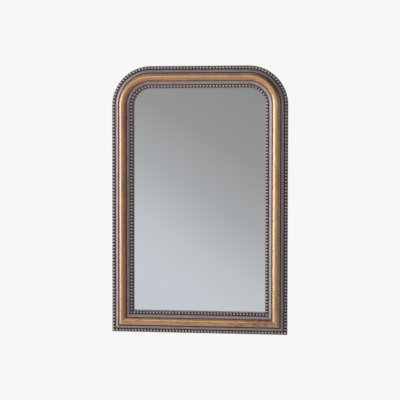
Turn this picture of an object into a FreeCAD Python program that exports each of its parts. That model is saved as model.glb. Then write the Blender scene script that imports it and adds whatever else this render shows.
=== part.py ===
import FreeCAD, Part
import math
import os
import re
import Sketcher

# Arched wall mirror in a gilded frame with two rows of beads, round at its two top corners.
# The front faces -Y and the wall is the plane Y = 0. The origin is the point of the wall
# midway between the two hooks that carry the frame. Sizes are millimetres.
# In the moulding's section, u runs inwards from the frame's outer edge and v runs forwards
# from the frame's back.

SIZES = {
    # Outline of the frame
    "frame_width": 600.0,
    "frame_height": 910.0,
    "corner_radius": 134.0,
    "hang_drop": 190.0,
    "wall_gap": 6.0,
    # Moulding, from its outer edge to the glass
    "side_height": 14.0,
    "outer_seat_width": 13.0,
    "outer_step": 6.0,
    "outer_fillet_width": 9.8,
    "outer_fillet_rise": 9.0,
    "quirk_width": 2.0,
    "quirk_depth": 2.0,
    "torus_width": 27.5,
    "torus_rise": 11.5,
    "inner_rise": 4.0,
    "inner_fillet_width": 8.7,
    "inner_fillet_fall": 6.0,
    "inner_step": 5.0,
    "inner_seat_width": 11.0,
    "lip_width": 2.0,
    "lip_fall": 8.0,
    "rebate_width": 6.5,
    # Bead strips, glued on the moulding's two seats
    "bead_pitch": 10.9,
    "bead_base": 1.5,
    "bead_slope": 2.8,
    "bead_notch": 2.8,
    "outer_bead_height": 4.5,
    "inner_bead_height": 4.0,
    # Loose tongues and mitre keys that hold the frame's joints
    "tongue_length": 32.0,
    "tongue_width": 28.0,
    "tongue_thickness": 6.0,
    "tongue_inset": 21.0,
    "key_length": 40.0,
    "key_width": 34.0,
    "key_thickness": 5.0,
    "key_inset": 36.0,
    "joint_depth": 8.0,
    "slot_clearance": 0.2,
    # Mirror glass, its setting blocks and the backing board
    "glass_thickness": 4.0,
    "glass_clearance": 1.5,
    "block_length": 40.0,
    "block_spread": 300.0,
    "board_thickness": 6.0,
    "board_clearance": 1.0,
    # Turn buttons that hold the backing board
    "button_width": 13.0,
    "button_tip_width": 9.0,
    "button_tip_chamfer": 2.0,
    "button_reach": 24.0,
    "button_thickness": 1.5,
    "button_gap": 0.3,
    "button_edge": 9.0,
    "button_low_level": 230.0,
    "button_high_level": 590.0,
    # Wood screws
    "screw_radius": 1.75,
    "screw_length": 14.0,
    "screw_head_radius": 3.3,
    "screw_head_height": 1.8,
    "screw_head_gap": 0.2,
    "pivot_clearance": 0.1,
    "pilot_clearance": 0.05,
    # Hanger straps and their rings
    "hanger_inset": 34.0,
    "strap_width": 16.0,
    "strap_length": 42.0,
    "strap_thickness": 2.0,
    "barrel_radius": 2.5,
    "strap_near_hole": 8.5,
    "strap_far_hole": 32.0,
    "ring_wire_radius": 1.5,
    "ring_bow_radius": 11.5,
    "ring_bend_radius": 3.0,
    "ring_leg": 4.5,
    # Rubber bumpers between the frame and the wall
    "bumper_radius": 8.0,
    "bumper_inset": 30.0,
    # How far a cut runs past what it cuts
    "overrun": 2.0,
}

# Levels and lines of the frame
TOP = "hang_drop"
BOTTOM = "(hang_drop - frame_height)"
SPRING = "(hang_drop - corner_radius)"
HALF = "(frame_width / 2)"
ARC_CENTRE = "(frame_width / 2 - corner_radius)"

# Places across the moulding
U_FILLET = "outer_seat_width"
U_QUIRK = f"({U_FILLET} + outer_fillet_width)"
U_TORUS = f"({U_QUIRK} + quirk_width)"
U_TORUS_END = f"({U_TORUS} + torus_width)"
U_INNER_FILLET = f"({U_TORUS_END} + quirk_width)"
U_INNER_SEAT = f"({U_INNER_FILLET} + inner_fillet_width)"
U_LIP = f"({U_INNER_SEAT} + inner_seat_width)"
U_SIGHT = f"({U_LIP} + lip_width)"
U_REBATE = f"({U_SIGHT} - rebate_width)"
U_BUTTON = f"({U_REBATE} - button_edge)"

# Heights in the moulding
V_SEAT = "side_height"
V_FILLET_LOW = "(side_height + outer_step)"
V_FILLET_HIGH = f"({V_FILLET_LOW} + outer_fillet_rise)"
V_QUIRK = f"({V_FILLET_HIGH} - quirk_depth)"
V_INNER_HIGH = f"({V_QUIRK} + inner_rise)"
V_INNER_LOW = f"({V_INNER_HIGH} - inner_fillet_fall)"
V_INNER_SEAT = f"({V_INNER_LOW} - inner_step)"
V_SIGHT = f"({V_INNER_SEAT} - lip_fall)"
V_LEDGE = "(board_thickness + glass_thickness)"
TORUS_RADIUS = "((torus_width ^ 2 / 4 + torus_rise ^ 2) / (2 * torus_rise))"

# The two rows of beads: where each starts across the moulding, its width, the seat it lies on
# and how high its beads stand
BEAD_ROWS = {
    "outer": ("0", "outer_seat_width", V_SEAT, "outer_bead_height"),
    "inner": (U_INNER_SEAT, "inner_seat_width", V_INNER_SEAT, "inner_bead_height"),
}

# Sign of X on each side of the mirror
SIDES = {"left": "-", "right": ""}

# Angles in degrees
QUARTER_TURN = 90
FULL_TURN = 360

# Share of a radius from the centre of a quarter circle to its middle, along each axis
DIAGONAL = math.sqrt(0.5)

# Small rounds on the back have few sides, and the bow of a ring has more
SMALL_ROUND_SIDES = 12
BOW_SIDES = 24
SHANK_SIDES = 6
WIRE_SIDES = 8

doc = FreeCAD.newDocument("ArchedWallMirror")
sheet = doc.addObject("Spreadsheet::Sheet", "Sizes")
for row, (alias, value) in enumerate(SIZES.items(), start=1):
    sheet.set(f"A{row}", alias)
    sheet.set(f"B{row}", str(value))
    sheet.setAlias(f"B{row}", alias)
doc.recompute()


def linked(text):
    """Turn a sum of size names into an expression that reads the sheet."""
    return re.sub("[a-z_]+", lambda word: "Sizes." + word[0] if word[0] in SIZES else word[0], text)


def size(text):
    """Value of a sum of size names."""
    return float(sheet.evalExpression(linked(text)))


def bind(item, name, text):
    """Tie one property of an object to the sheet."""
    item.setExpression(name, linked(text))


def signed(side, text):
    """A distance from the mirror's upright centre line, on one of its sides."""
    return f"{SIDES[side]}({text})"


def new_body(label):
    body = doc.addObject("PartDesign::Body", label)
    body.Label = label
    body.AllowCompound = True
    return body


def place_body(body, places, turn="0"):
    """Put a body that is drawn about its own pivot in the frame, turned about Y by degrees."""
    if turn != "0":
        body.Placement.Rotation = FreeCAD.Rotation(FreeCAD.Vector(0, 1, 0), size(turn))
        bind(body, "Placement.Rotation.Angle", turn)
    for letter, text in zip("xyz", places):
        bind(body, f"Placement.Base.{letter}", text)


def new_sketch(body, name, role, shift=("0", "0", "0")):
    """Sketch on one of the body's own origin planes, shifted along the plane's own axes."""
    sketch = body.newObject("Sketcher::SketchObject", f"{body.Label}_{name}")
    plane = [item for item in body.Origin.OriginFeatures if item.Role == role][0]
    sketch.AttachmentSupport = [(plane, "")]
    sketch.MapMode = "FlatFace"
    for letter, text in zip("xyz", shift):
        if text != "0":
            bind(sketch, f"AttachmentOffset.Base.{letter}", text)
    return sketch


def spot(corner):
    return FreeCAD.Vector(size(corner[0]), size(corner[1]), 0)


def fix_point(sketch, edge, end, corner):
    """Tie a point of a sketch to its two coordinates."""
    for kind, text in zip(("DistanceX", "DistanceY"), corner):
        number = sketch.addConstraint(Sketcher.Constraint(kind, edge, end, size(text)))
        bind(sketch, f"Constraints[{number}]", text)


def fix_radius(sketch, edge, radius):
    number = sketch.addConstraint(Sketcher.Constraint("Radius", edge, size(radius)))
    bind(sketch, f"Constraints[{number}]", radius)


def draw_path(sketch, corners):
    """Straight runs from corner to corner, left open."""
    first = sketch.GeometryCount
    for index, (start, finish) in enumerate(zip(corners, corners[1:])):
        edge = sketch.addGeometry(Part.LineSegment(spot(start), spot(finish)), False)
        if index:
            sketch.addConstraint(Sketcher.Constraint("Coincident", edge - 1, 2, edge, 1))
        fix_point(sketch, edge, 1, start)
    fix_point(sketch, first + len(corners) - 2, 2, corners[-1])


def draw_outline(sketch, corners):
    """Close an outline through its corners. A corner with five values starts an arc that goes
    through the point of its third and fourth, with its fifth as radius."""
    first = sketch.GeometryCount
    ends = []
    for index, corner in enumerate(corners):
        start, finish = spot(corner), spot(corners[(index + 1) % len(corners)])
        if len(corner) == 2:
            sketch.addGeometry(Part.LineSegment(start, finish), False)
            ends.append((1, 2))
            continue
        middle = spot(corner[2:4])
        if (middle - start).cross(finish - middle).z > 0:
            sketch.addGeometry(Part.Arc(start, middle, finish), False)
            ends.append((1, 2))
        else:
            sketch.addGeometry(Part.Arc(finish, middle, start), False)
            ends.append((2, 1))
    for index, corner in enumerate(corners):
        after = (index + 1) % len(corners)
        edge, next_edge = first + index, first + after
        meeting = (edge, ends[index][1], next_edge, ends[after][0])
        sketch.addConstraint(Sketcher.Constraint("Coincident", *meeting))
        fix_point(sketch, edge, ends[index][0], corner[:2])
        if len(corner) == 5:
            fix_radius(sketch, edge, corner[4])


def draw_circle(sketch, centre, radius):
    circle = Part.Circle(spot(centre), FreeCAD.Vector(0, 0, 1), size(radius))
    edge = sketch.addGeometry(circle, False)
    fix_point(sketch, edge, 3, centre)
    fix_radius(sketch, edge, radius)


def draw_rectangle(sketch, low, high):
    draw_outline(sketch, [low, (high[0], low[1]), high, (low[0], high[1])])


def few_sided(centre, radius, sides=SMALL_ROUND_SIDES, first=0, turn=FULL_TURN):
    """Corners on a circle, or on the part of it from one angle through a turn."""
    steps = round(sides * turn / FULL_TURN)
    corners = []
    for step in range(steps if turn == FULL_TURN else steps + 1):
        angle = math.radians(first + turn * step / steps)
        shares = zip(centre, (math.cos(angle), math.sin(angle)))
        corners.append(tuple(f"{middle} + ({share:.6f}) * ({radius})" for middle, share in shares))
    return corners


def extrude(body, kind, name, sketch, length=None, way="forward"):
    """Pad or pocket along the sketch's normal: forward, backward or both ways. A pocket with no
    length goes through all, both ways."""
    feature = body.newObject(f"PartDesign::{kind}", f"{body.Label}_{name}")
    feature.Profile = sketch
    if length is None:
        feature.Type = "ThroughAll"
    else:
        bind(feature, "Length", length)
    feature.SideType = "Symmetric" if way == "both" or length is None else "One side"
    feature.Reversed = (way == "backward") if kind == "Pad" else (way == "forward")
    body.Tip = feature
    return feature


def sweep_pipe(body, name, profile, path):
    """Run a section along a path, with sharp mitres at the path's corners."""
    pipe = body.newObject("PartDesign::AdditivePipe", f"{body.Label}_{name}")
    pipe.Profile = profile
    pipe.Spine = path
    pipe.Transition = "Right corner"
    body.Tip = pipe


def repeat_cut(body, cut, axis, extent, count):
    """Repeat a cut along a line, or round an axis if the body is a corner."""
    kind, way, name = "Linear", "Direction", "Length"
    if body.Label.endswith("_arc"):
        kind, way, name = "Polar", "Axis", "Angle"
    pattern = body.newObject(f"PartDesign::{kind}Pattern", f"{body.Label}_repeat")
    pattern.Originals = [cut]
    setattr(pattern, way, axis)
    bind(pattern, name, extent)
    bind(pattern, "Occurrences", count)
    pattern.Reversed = body.Label.endswith("left_arc")
    body.Tip = pattern


def in_member(member, corner):
    """Place a corner of the section, or of an arc in it, in the sketch plane of a member."""
    u, v = corner[:2]
    depth = f"-(wall_gap + {v})"
    pair = {
        "left": (f"-{HALF} + ({u})", depth),
        "right": (f"{HALF} - ({u})", depth),
        "bottom": (depth, f"{BOTTOM} + ({u})"),
        "top": (depth, f"{TOP} - ({u})"),
        "left_arc": (f"-(corner_radius - ({u}))", depth),
        "right_arc": (f"corner_radius - ({u})", depth),
    }[member]
    if len(corner) == 2:
        return pair
    return pair + in_member(member, corner[2:4]) + (corner[4],)


def sweep_member(body, member, corners):
    """Run a section along a member: stiles up from the bottom, rails both ways from the middle,
    and corners a quarter turn up from the springing."""
    arc = member.endswith("_arc")
    side = member[:-len("_arc")] if arc else member
    shift = ("0", "0", "0")
    if arc:
        shift = (signed(side, ARC_CENTRE), "0", SPRING)
    elif side in SIDES:
        shift = ("0", "0", BOTTOM)
    role = "YZ_Plane" if member in ("bottom", "top") else "XY_Plane"
    sketch = new_sketch(body, f"{member}_section", role, shift)
    draw_outline(sketch, [in_member(member, corner) for corner in corners])
    if arc:
        corner = body.newObject("PartDesign::Revolution", f"{body.Label}_{member}_run")
        corner.Profile = sketch
        corner.ReferenceAxis = (sketch, ["V_Axis"])
        corner.Angle = QUARTER_TURN
        corner.Reversed = side == "right"
        body.Tip = corner
    elif side in SIDES:
        extrude(body, "Pad", "run", sketch, "frame_height - corner_radius")
    else:
        length = "frame_width" if member == "bottom" else f"2 * {ARC_CENTRE}"
        extrude(body, "Pad", "run", sketch, length, "both")
    if member in ("left", "right", "bottom"):
        cut_mitres(body, member)


def cut_mitres(body, member):
    """Cut a stile's foot, or both ends of the bottom rail, at 45 degrees."""
    sketch = new_sketch(body, "mitre", "XZ_Plane")
    far = f"({U_SIGHT} + overrun)"
    for side in SIDES if member == "bottom" else [member]:
        outside, inside = signed(side, f"{HALF} + overrun"), signed(side, f"{HALF} - {far}")
        low, high = f"{BOTTOM} - overrun", f"{BOTTOM} + {far}"
        third = (outside, high) if member == "bottom" else (inside, low)
        draw_outline(sketch, [(outside, low), (inside, high), third])
    extrude(body, "Pocket", "mitre_cut", sketch)


def moulding_section():
    """Section of the frame: bead seat, fillet, quirk, torus, quirk, fillet, bead seat, lip and
    the rebate for the glass."""
    crown = (f"{U_TORUS} + torus_width / 2", f"{V_QUIRK} + torus_rise")
    return [
        ("0", "0"),
        ("0", V_SEAT),
        (U_FILLET, V_SEAT),
        (U_FILLET, V_FILLET_LOW),
        (U_QUIRK, V_FILLET_HIGH),
        (U_QUIRK, V_QUIRK),
        (U_TORUS, V_QUIRK) + crown + (TORUS_RADIUS,),
        (U_TORUS_END, V_QUIRK),
        (U_INNER_FILLET, V_QUIRK),
        (U_INNER_FILLET, V_INNER_HIGH),
        (U_INNER_SEAT, V_INNER_LOW),
        (U_INNER_SEAT, V_INNER_SEAT),
        (U_LIP, V_INNER_SEAT),
        (U_SIGHT, V_SIGHT),
        (U_SIGHT, V_LEDGE),
        (U_REBATE, V_LEDGE),
        (U_REBATE, "0"),
    ]


def tongue_sketch(body, name, side, grow):
    """Rectangle of the loose tongue between a stile and the head, on the springing plane."""
    sketch = new_sketch(body, f"{name}_{side}", "XY_Plane", ("0", "0", SPRING))
    low = (f"tongue_inset - {grow}", f"joint_depth - {grow}")
    high = (f"tongue_inset + tongue_width + {grow}", f"joint_depth + tongue_thickness + {grow}")
    draw_rectangle(sketch, in_member(side, low), in_member(side, high))
    return sketch


def cut_tongue_slot(body, side):
    """Slot for a tongue, half of it in the stile and half in the head."""
    sketch = tongue_sketch(body, "slot", side, "slot_clearance")
    extrude(body, "Pocket", f"slot_cut_{side}", sketch, "tongue_length + 2 * slot_clearance", "both")


def key_outline(side, grow):
    """Key across a bottom mitre: a rectangle turned 45 degrees about the mitre line."""
    half_length, half_width = f"(key_length / 2 + {grow})", f"(key_width / 2 + {grow})"
    corners = []
    for across, along in (("-", "-"), ("+", "-"), ("+", "+"), ("-", "+")):
        opposite = "-" if across == "+" else "+"
        inset = f"key_inset + {DIAGONAL} * ({across}{half_length} {along} {half_width})"
        level = f"key_inset + {DIAGONAL} * ({opposite}{half_length} {along} {half_width})"
        corners.append((signed(side, f"{HALF} - ({inset})"), f"{BOTTOM} + {level}"))
    return corners


def cut_key_slots(body, member):
    depth = "wall_gap + joint_depth - slot_clearance"
    sketch = new_sketch(body, "key_slot", "XZ_Plane", ("0", "0", depth))
    for side in SIDES if member == "bottom" else [member]:
        draw_outline(sketch, key_outline(side, "slot_clearance"))
    extrude(body, "Pocket", "key_slot_cut", sketch, "key_thickness + 2 * slot_clearance")


def button_places():
    """Pivot of each turn button by member, with the turn that points its arm over the board."""
    places = {}
    for side, turn in (("left", "0"), ("right", f"2 * {QUARTER_TURN}")):
        across = signed(side, f"{HALF} - {U_BUTTON}")
        levels = ("button_low_level", "button_high_level")
        places[side] = [(across, f"{BOTTOM} + {level}", turn) for level in levels]
    places["top"] = [("0", f"{TOP} - {U_BUTTON}", f"{QUARTER_TURN}")]
    places["bottom"] = [("0", f"{BOTTOM} + {U_BUTTON}", f"-{QUARTER_TURN}")]
    return places


def hanger_place(side):
    """Pivot of a ring: the inside of its bow, where the hook bears, is level with the origin."""
    across = signed(side, f"{HALF} - hanger_inset")
    return across, "barrel_radius - wall_gap", "-(ring_leg + ring_bow_radius - ring_wire_radius)"


def strap_screw_places(side):
    across, _, pivot = hanger_place(side)
    return [(across, f"{pivot} - {hole}") for hole in ("strap_near_hole", "strap_far_hole")]


def drill_pilots(body, places):
    """Blind pilot holes for screws, from the frame's back."""
    sketch = new_sketch(body, "pilots", "XZ_Plane", ("0", "0", "wall_gap - overrun"))
    for place in places:
        draw_outline(sketch, few_sided(place, "screw_radius + pilot_clearance"))
    extrude(body, "Pocket", "pilot_holes", sketch, "screw_length + 2 * overrun")


def make_frame():
    """Two stiles and a bottom rail that meet in mitres, and an arched head between the stiles."""
    buttons = button_places()
    section = moulding_section()
    for side in SIDES:
        stile = new_body(f"{side}_stile")
        sweep_member(stile, side, section)
        cut_tongue_slot(stile, side)
        cut_key_slots(stile, side)
        drill_pilots(stile, buttons[side] + strap_screw_places(side))
    head = new_body("arched_head")
    for member in ("top", "left_arc", "right_arc"):
        sweep_member(head, member, section)
    for side in SIDES:
        cut_tongue_slot(head, side)
    drill_pilots(head, buttons["top"])
    rail = new_body("bottom_rail")
    sweep_member(rail, "bottom", section)
    cut_key_slots(rail, "bottom")
    drill_pilots(rail, buttons["bottom"])


def make_joints():
    """Loose tongues between the stiles and the head, and keys across the two mitres."""
    tongues = new_body("stile_tongues")
    for side in SIDES:
        sketch = tongue_sketch(tongues, "tongue", side, "0")
        extrude(tongues, "Pad", f"run_{side}", sketch, "tongue_length", "both")
    keys = new_body("mitre_keys")
    sketch = new_sketch(keys, "outlines", "XZ_Plane", ("0", "0", "wall_gap + joint_depth"))
    for side in SIDES:
        draw_outline(sketch, key_outline(side, "0"))
    extrude(keys, "Pad", "run", sketch, "key_thickness")


def strip_section(row, trim="0"):
    """Section of a bead strip: a thin base with the beads' sloping sides on it."""
    start, width, seat, height = BEAD_ROWS[row]
    width = f"({width} - {trim})"
    base, crown = f"{seat} + bead_base", f"{seat} + bead_base + {height}"
    return [
        (start, seat),
        (f"{start} + {width}", seat),
        (f"{start} + {width}", base),
        (f"{start} + {width} - bead_slope", crown),
        (f"{start} + bead_slope", crown),
        (start, base),
    ]


def notch_places(row, member):
    """First notch, how many there are and how far they run. A bead sits on each mitre and a
    notch on each butt joint."""
    start, width = BEAD_ROWS[row][:2]
    centre = f"({start} + {width} / 2)"
    if member == "top":
        run = f"(2 * {ARC_CENTRE})"
        return f"-{ARC_CENTRE}", f"round({run} / bead_pitch) + 1", run
    if member == "bottom":
        run = f"(frame_width - 2 * {centre})"
        beads = f"round({run} / bead_pitch)"
        pitch = f"({run} / {beads})"
        return f"-{run} / 2 + {pitch} / 2", beads, f"{run} - {pitch}"
    run = f"(frame_height - corner_radius - {centre})"
    beads = f"round({run} / bead_pitch + 0.5)"
    pitch = f"({run} / ({beads} - 0.5))"
    return f"{BOTTOM} + {centre} + {pitch} / 2", beads, f"({beads} - 1) * {pitch}"


def notch_outline(row, place):
    """V between two beads, down to the strip's base, with its foot at a place along the strip."""
    seat, height = BEAD_ROWS[row][2:]
    spread = f"bead_notch * ({height} + overrun) / {height}"
    crown = f"-(wall_gap + {seat} + bead_base + {height} + overrun)"
    foot = f"-(wall_gap + {seat} + bead_base)"
    return [(foot, place), (crown, f"{place} + {spread}"), (crown, f"{place} - {spread}")]


def make_straight_strip(row, member):
    """Straight strip on a stile, on the bottom rail or between the two top corners."""
    body = new_body(f"{row}_bead_{member}")
    sweep_member(body, member, strip_section(row))
    place, count, run = notch_places(row, member)
    notch = notch_outline(row, place)
    level = member in ("top", "bottom")
    sketch = new_sketch(body, "notch", "XY_Plane" if level else "YZ_Plane")
    draw_outline(sketch, [(along, depth) for depth, along in notch] if level else notch)
    cut = extrude(body, "Pocket", "notch_cut", sketch)
    repeat_cut(body, cut, (sketch, ["H_Axis" if level else "V_Axis"]), run, count)


def make_arc_strip(row, side):
    """Strip round a top corner, in one straight run for each bead. It goes past both its ends,
    where it is cut flush, and the outer row's runs clear the round fillet beside them."""
    body = new_body(f"{row}_bead_{side}_arc")
    start, width, seat, _ = BEAD_ROWS[row]
    outer, inner = f"(corner_radius - {start})", f"(corner_radius - {start} - {width})"
    beads = round(size(f"{math.pi / 4} * ({outer} + {inner}) / bead_pitch"))
    half = f"{QUARTER_TURN} / {beads} / 2"
    trim = f"{inner} * (1 / cos({half}) - 1)" if row == "outer" else "0"
    lead = f"(overrun * tan({half}))"
    centre = signed(side, ARC_CENTRE)
    start_place = (signed(side, f"{ARC_CENTRE} + {lead}"), "0", f"{SPRING} - overrun")
    section = new_sketch(body, "section", "XY_Plane", start_place)
    draw_outline(section, [in_member(f"{side}_arc", corner) for corner in strip_section(row, trim)])
    path = new_sketch(body, "path", "XZ_Plane", (centre, SPRING, f"wall_gap + {seat}"))
    bends = few_sided(("0", "0"), outer, 4 * beads, turn=QUARTER_TURN)
    runs = [(f"{outer} + {lead}", "-overrun")] + bends + [("-overrun", f"{outer} + {lead}")]
    draw_path(path, [(signed(side, across), along) for across, along in runs])
    sweep_pipe(body, "run", section, path)
    ends = new_sketch(body, "ends", "XZ_Plane", (centre, SPRING, "0"))
    far = f"({outer} + 2 * overrun)"
    draw_rectangle(ends, (signed(side, f"{inner} - overrun"), "-2 * overrun"), (signed(side, far), "0"))
    draw_rectangle(ends, (signed(side, "-2 * overrun"), f"{inner} - overrun"), ("0", far))
    extrude(body, "Pocket", "ends_cut", ends)
    notch = new_sketch(body, "notch", "YZ_Plane", ("0", SPRING, "0"))
    draw_outline(notch, notch_outline(row, "0"))
    cut = extrude(body, "Pocket", "notch_cut", notch)
    repeat_cut(body, cut, (path, ["N_Axis"]), f"{QUARTER_TURN}", f"{beads} + 1")


def make_bead_strips():
    """Six strips in each row: four straight ones and one round each top corner."""
    for row in BEAD_ROWS:
        for member in ("left", "right", "top", "bottom"):
            make_straight_strip(row, member)
        for side in SIDES:
            make_arc_strip(row, side)


def arched_outline(inset):
    """Outline of a sheet that fills the frame, set in from the frame's outer edge."""
    edge, radius = f"({HALF} - {inset})", f"(corner_radius - {inset})"
    reach = f"({ARC_CENTRE} + {DIAGONAL} * {radius})"
    rise = f"{SPRING} + {DIAGONAL} * {radius}"
    foot, head = f"{BOTTOM} + {inset}", f"{TOP} - {inset}"
    return [
        (f"-{edge}", foot),
        (edge, foot),
        (edge, SPRING, reach, rise, radius),
        (ARC_CENTRE, head),
        (f"-{ARC_CENTRE}", head, f"-{reach}", rise, radius),
        (f"-{edge}", SPRING),
    ]


def make_sheets():
    """Mirror glass against the rebate's ledge, and the backing board behind it."""
    sheets = {
        "mirror_glass": ("wall_gap + board_thickness", "glass_clearance", "glass_thickness"),
        "backing_board": ("wall_gap", "board_clearance", "board_thickness"),
    }
    for label, (depth, clearance, thickness) in sheets.items():
        body = new_body(label)
        sketch = new_sketch(body, "outline", "XZ_Plane", ("0", "0", depth))
        draw_outline(sketch, arched_outline(f"({U_REBATE} + {clearance})"))
        extrude(body, "Pad", "sheet", sketch, thickness)


def make_setting_blocks():
    """Two blocks under the glass that carry its weight on the bottom rail."""
    body = new_body("setting_blocks")
    sketch = new_sketch(body, "outline", "XZ_Plane", ("0", "0", "wall_gap + board_thickness"))
    for side in SIDES:
        near = signed(side, "block_spread / 2 - block_length / 2")
        far = signed(side, "block_spread / 2 + block_length / 2")
        low, high = f"{BOTTOM} + {U_REBATE}", f"{BOTTOM} + {U_REBATE} + glass_clearance"
        draw_rectangle(sketch, (near, low), (far, high))
    extrude(body, "Pad", "blocks", sketch, "glass_thickness")


def make_turn_buttons():
    """Flat plates, round at the pivot and tapered to a chamfered tip, that swing aside to free
    the backing board."""
    tip = "(button_tip_width / 2)"
    shoulder = "button_reach - button_tip_chamfer"
    hub = few_sided(("0", "0"), "button_width / 2", first=QUARTER_TURN, turn=2 * QUARTER_TURN)
    plate = hub + [
        (shoulder, f"-{tip}"),
        ("button_reach", f"-({tip} - button_tip_chamfer)"),
        ("button_reach", f"{tip} - button_tip_chamfer"),
        (shoulder, tip),
    ]
    places = [place for member in button_places().values() for place in member]
    for number, (across, level, turn) in enumerate(places, start=1):
        body = new_body(f"turn_button_{number}")
        sketch = new_sketch(body, "outline", "XZ_Plane")
        draw_outline(sketch, plate)
        draw_outline(sketch, few_sided(("0", "0"), "screw_radius + pivot_clearance"))
        extrude(body, "Pad", "plate", sketch, "button_thickness", "backward")
        place_body(body, (across, "button_gap - wall_gap", level), turn)


def make_screws(label, places, seat):
    """Pan-head screws whose heads lie a little above what they hold."""
    body = new_body(label)
    under_head = f"({seat} + screw_head_gap)"
    plane = ("0", "0", f"wall_gap - {under_head}")
    heads = new_sketch(body, "heads", "XZ_Plane", plane)
    shanks = new_sketch(body, "shanks", "XZ_Plane", plane)
    for place in places:
        draw_outline(heads, few_sided(place, "screw_head_radius"))
        draw_outline(shanks, few_sided(place, "screw_radius", SHANK_SIDES))
    extrude(body, "Pad", "head_rounds", heads, "screw_head_height", "backward")
    extrude(body, "Pad", "shank_rounds", shanks, f"screw_length + {under_head}")


def make_strap(side):
    """Strap with a round tail, two screw holes and a barrel curled round the ring's bar."""
    body = new_body(f"hanger_strap_{side}")
    half = "(strap_width / 2)"
    plate = new_sketch(body, "plate", "XZ_Plane", ("0", "0", "barrel_radius"))
    tail_centre = ("0", f"-(strap_length - {half})")
    tail = few_sided(tail_centre, half, first=2 * QUARTER_TURN, turn=2 * QUARTER_TURN)
    draw_outline(plate, [(half, "0"), (f"-{half}", "0")] + tail)
    for hole in ("strap_near_hole", "strap_far_hole"):
        draw_outline(plate, few_sided(("0", f"-{hole}"), "screw_radius + pivot_clearance"))
    extrude(body, "Pad", "plate_run", plate, "strap_thickness", "backward")
    barrel = new_sketch(body, "barrel", "YZ_Plane")
    draw_circle(barrel, ("0", "0"), "barrel_radius")
    extrude(body, "Pad", "barrel_run", barrel, "strap_width", "both")
    bore = new_sketch(body, "bore", "YZ_Plane")
    draw_circle(bore, ("0", "0"), "ring_wire_radius + pivot_clearance")
    extrude(body, "Pocket", "bore_cut", bore)
    place_body(body, hanger_place(side))


def make_ring(side):
    """Ring bent from wire: a straight bar in the strap's barrel, two legs and a round bow."""
    body = new_body(f"d_ring_{side}")
    inner = "ring_bow_radius - ring_bend_radius"
    path = new_sketch(body, "path", "XZ_Plane")
    bends = []
    for across, first in ((inner, -QUARTER_TURN), (f"-({inner})", 2 * QUARTER_TURN)):
        centre = (across, "ring_bend_radius")
        bends.append(few_sided(centre, "ring_bend_radius", first=first, turn=QUARTER_TURN))
    bow = few_sided(("0", "ring_leg"), "ring_bow_radius", BOW_SIDES, turn=2 * QUARTER_TURN)
    draw_outline(path, [("0", "0")] + bends[0] + bow + bends[1])
    wire = new_sketch(body, "wire", "YZ_Plane")
    draw_outline(wire, few_sided(("0", "0"), "ring_wire_radius", WIRE_SIDES))
    sweep_pipe(body, "bent_wire", wire, path)
    place_body(body, hanger_place(side))


def make_bumpers():
    """Four rubber bumpers that keep the hangers clear of the wall."""
    body = new_body("wall_bumpers")
    sketch = new_sketch(body, "rounds", "XZ_Plane", ("0", "0", "wall_gap"))
    for side in SIDES:
        low = (signed(side, f"{HALF} - bumper_inset"), f"{BOTTOM} + bumper_inset")
        high = (signed(side, f"{ARC_CENTRE} - bumper_inset"), f"{TOP} - bumper_inset")
        for place in (low, high):
            draw_outline(sketch, few_sided(place, "bumper_radius"))
    extrude(body, "Pad", "rounds_run", sketch, "wall_gap", "backward")


def check_features():
    """Stop if a feature failed, or if a cut or a repeat changed nothing."""
    for item in doc.Objects:
        if "Invalid" in item.State or "Error" in item.State:
            raise RuntimeError(f"{item.Name} failed: {item.State}")
        if item.TypeId == "PartDesign::Pocket" or "Pattern" in item.TypeId:
            if item.Shape.Volume >= item.BaseFeature.Shape.Volume:
                raise RuntimeError(f"{item.Name} cut nothing")


def export_bodies():
    """Write each body's shape to the file of its name."""
    os.makedirs("parts", exist_ok=True)
    bodies = [item for item in doc.Objects if item.TypeId == "PartDesign::Body"]
    for body in bodies:
        if body.Shape.isNull() or not body.Shape.isValid():
            raise RuntimeError(f"{body.Label} has no valid shape")
    for body in bodies:
        body.Shape.exportStep(f"parts/{body.Label}.step")
        print(f"{body.Label}: {len(body.Shape.Solids)} solids, {body.Shape.Volume:.0f} mm3")


make_frame()
make_joints()
make_bead_strips()
make_sheets()
make_setting_blocks()
make_turn_buttons()
button_screws = [place for member in button_places().values() for place in member]
make_screws("turn_button_screws", button_screws, "(button_gap + button_thickness)")
for side in SIDES:
    make_strap(side)
    make_ring(side)
hanger_screws = [place for side in SIDES for place in strap_screw_places(side)]
make_screws("hanger_screws", hanger_screws, "strap_thickness")
make_bumpers()
doc.recompute()
check_features()
export_bodies()
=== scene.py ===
import math
import random

import bmesh
import bpy
from mathutils import Matrix, Vector


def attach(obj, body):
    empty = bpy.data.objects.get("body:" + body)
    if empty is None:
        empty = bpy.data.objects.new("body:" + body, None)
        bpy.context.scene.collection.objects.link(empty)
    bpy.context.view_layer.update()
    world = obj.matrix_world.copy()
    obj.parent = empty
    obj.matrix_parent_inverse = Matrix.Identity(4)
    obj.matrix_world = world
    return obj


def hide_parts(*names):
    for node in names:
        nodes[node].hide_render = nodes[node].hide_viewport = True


# Arched wall mirror. Metres; the mirror faces -Y and the wall is the plane Y = 0. In the
# moulding, u runs inwards from the frame's outer edge and v forwards from its back.

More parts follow.
